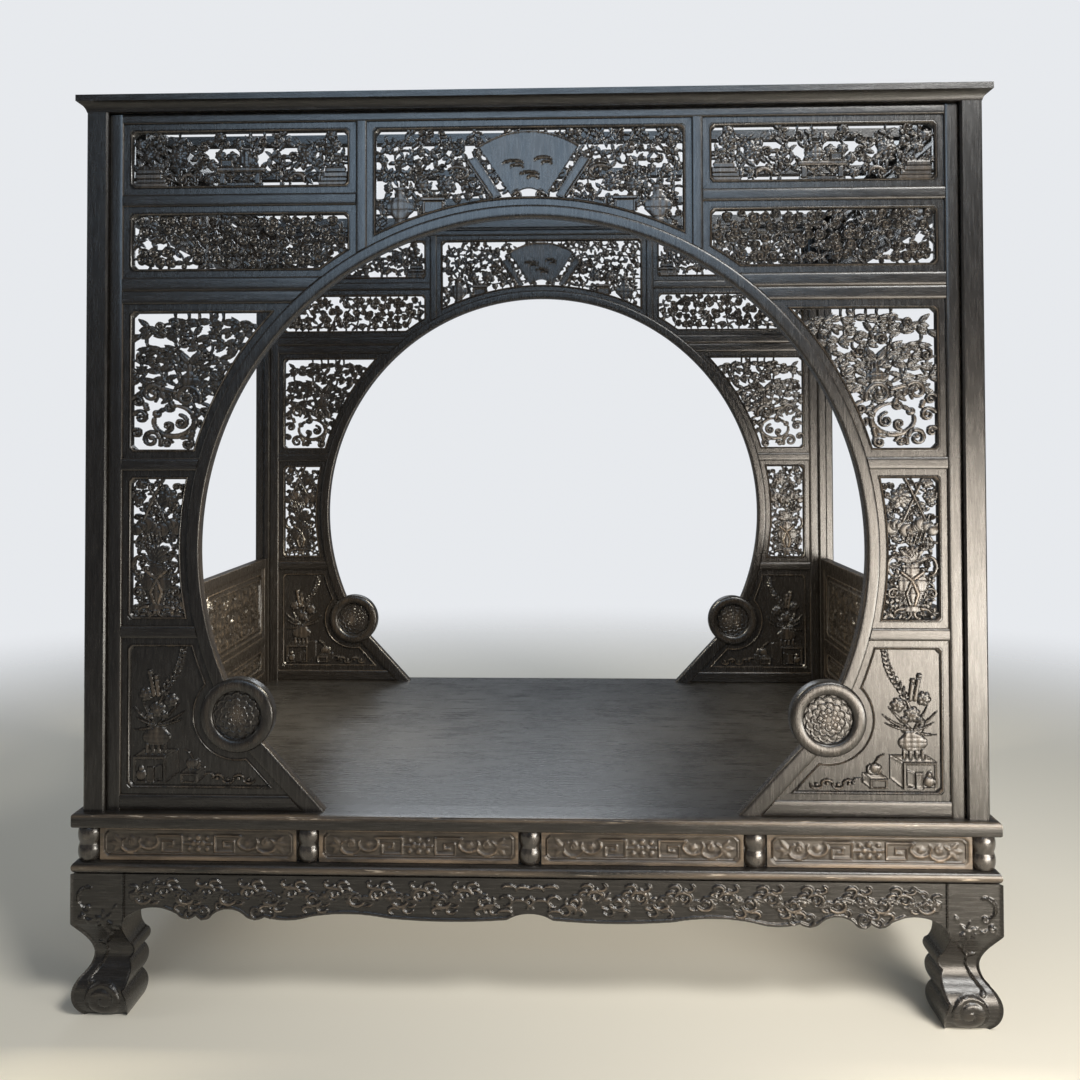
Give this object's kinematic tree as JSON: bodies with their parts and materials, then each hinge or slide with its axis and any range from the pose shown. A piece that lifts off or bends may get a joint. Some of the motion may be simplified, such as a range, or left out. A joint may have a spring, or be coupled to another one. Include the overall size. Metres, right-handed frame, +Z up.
{
  "type": "moon-gate canopy bed",
  "caption": "Chinese canopy bed of dark carved hardwood with a moon gate front and back, low end railings and cabriole legs.",
  "frame": {"origin": "centre of the footprint on the floor", "axes": "+X to the right along the front, +Y from the front to the back, +Z up"},
  "size_m": [2.226, 1.526, 2.25],
  "materials": {
    "frame_wood": "dark hardwood, satin, worn brown on raised edges",
    "carved_wood": "dark hardwood, carved, satin, worn on high points",
    "base_wood": "dark hardwood, satin, chipped and worn on the mouldings",
    "deck_wood": "dark boards, satin",
    "canopy_wood": "dark hardwood, satin"
  },
  "bodies": {
    "root": {"back_antiques_panels": "carved_wood", "back_apron": "base_wood", "back_arch": "frame_wood", "back_cloud_panels": "carved_wood", "back_fan_panel": "carved_wood", "back_foot_rails": "frame_wood", "back_legs": "base_wood", "back_lintel_rails": "frame_wood", "back_lintel_stiles": "frame_wood", "back_mullions": "frame_wood", "back_relief_panels": "carved_wood", "back_ring_sides": "frame_wood", "back_roundels": "frame_wood", "back_side_rails": "frame_wood", "back_side_stiles": "frame_wood", "back_spandrel_panels": "carved_wood", "back_tall_panels": "carved_wood", "back_top_rail": "frame_wood", "bed_frame_long_rails": "base_wood", "bed_frame_short_rails": "base_wood", "corner_posts": "canopy_wood", "cornice_long_rails": "canopy_wood", "cornice_short_rails": "canopy_wood", "deck_boards": "deck_wood", "deck_braces": "deck_wood", "end_middle_stiles": "frame_wood", "end_stiles": "frame_wood", "frieze_panels": "carved_wood", "frieze_rails": "frame_wood", "front_antiques_panels": "carved_wood", "front_apron": "base_wood", "front_arch": "frame_wood", "front_cloud_panels": "carved_wood", "front_fan_panel": "carved_wood", "front_foot_rails": "frame_wood", "front_legs": "base_wood", "front_lintel_rails": "frame_wood", "front_lintel_stiles": "frame_wood", "front_mullions": "frame_wood", "front_relief_panels": "carved_wood", "front_ring_sides": "frame_wood", "front_roundels": "frame_wood", "front_side_rails": "frame_wood", "front_side_stiles": "frame_wood", "front_spandrel_panels": "carved_wood", "front_tall_panels": "carved_wood", "front_top_rail": "frame_wood", "left_apron": "base_wood", "railing_lower_panels": "carved_wood", "railing_rails": "frame_wood", "railing_upper_panels": "carved_wood", "right_apron": "base_wood", "roof_battens": "canopy_wood", "torus_long_rails": "base_wood", "torus_short_rails": "base_wood", "waist_columns": "base_wood", "waist_long_boards": "base_wood", "waist_panels": "base_wood", "waist_short_boards": "base_wood"}
  },
  "joints": []
}
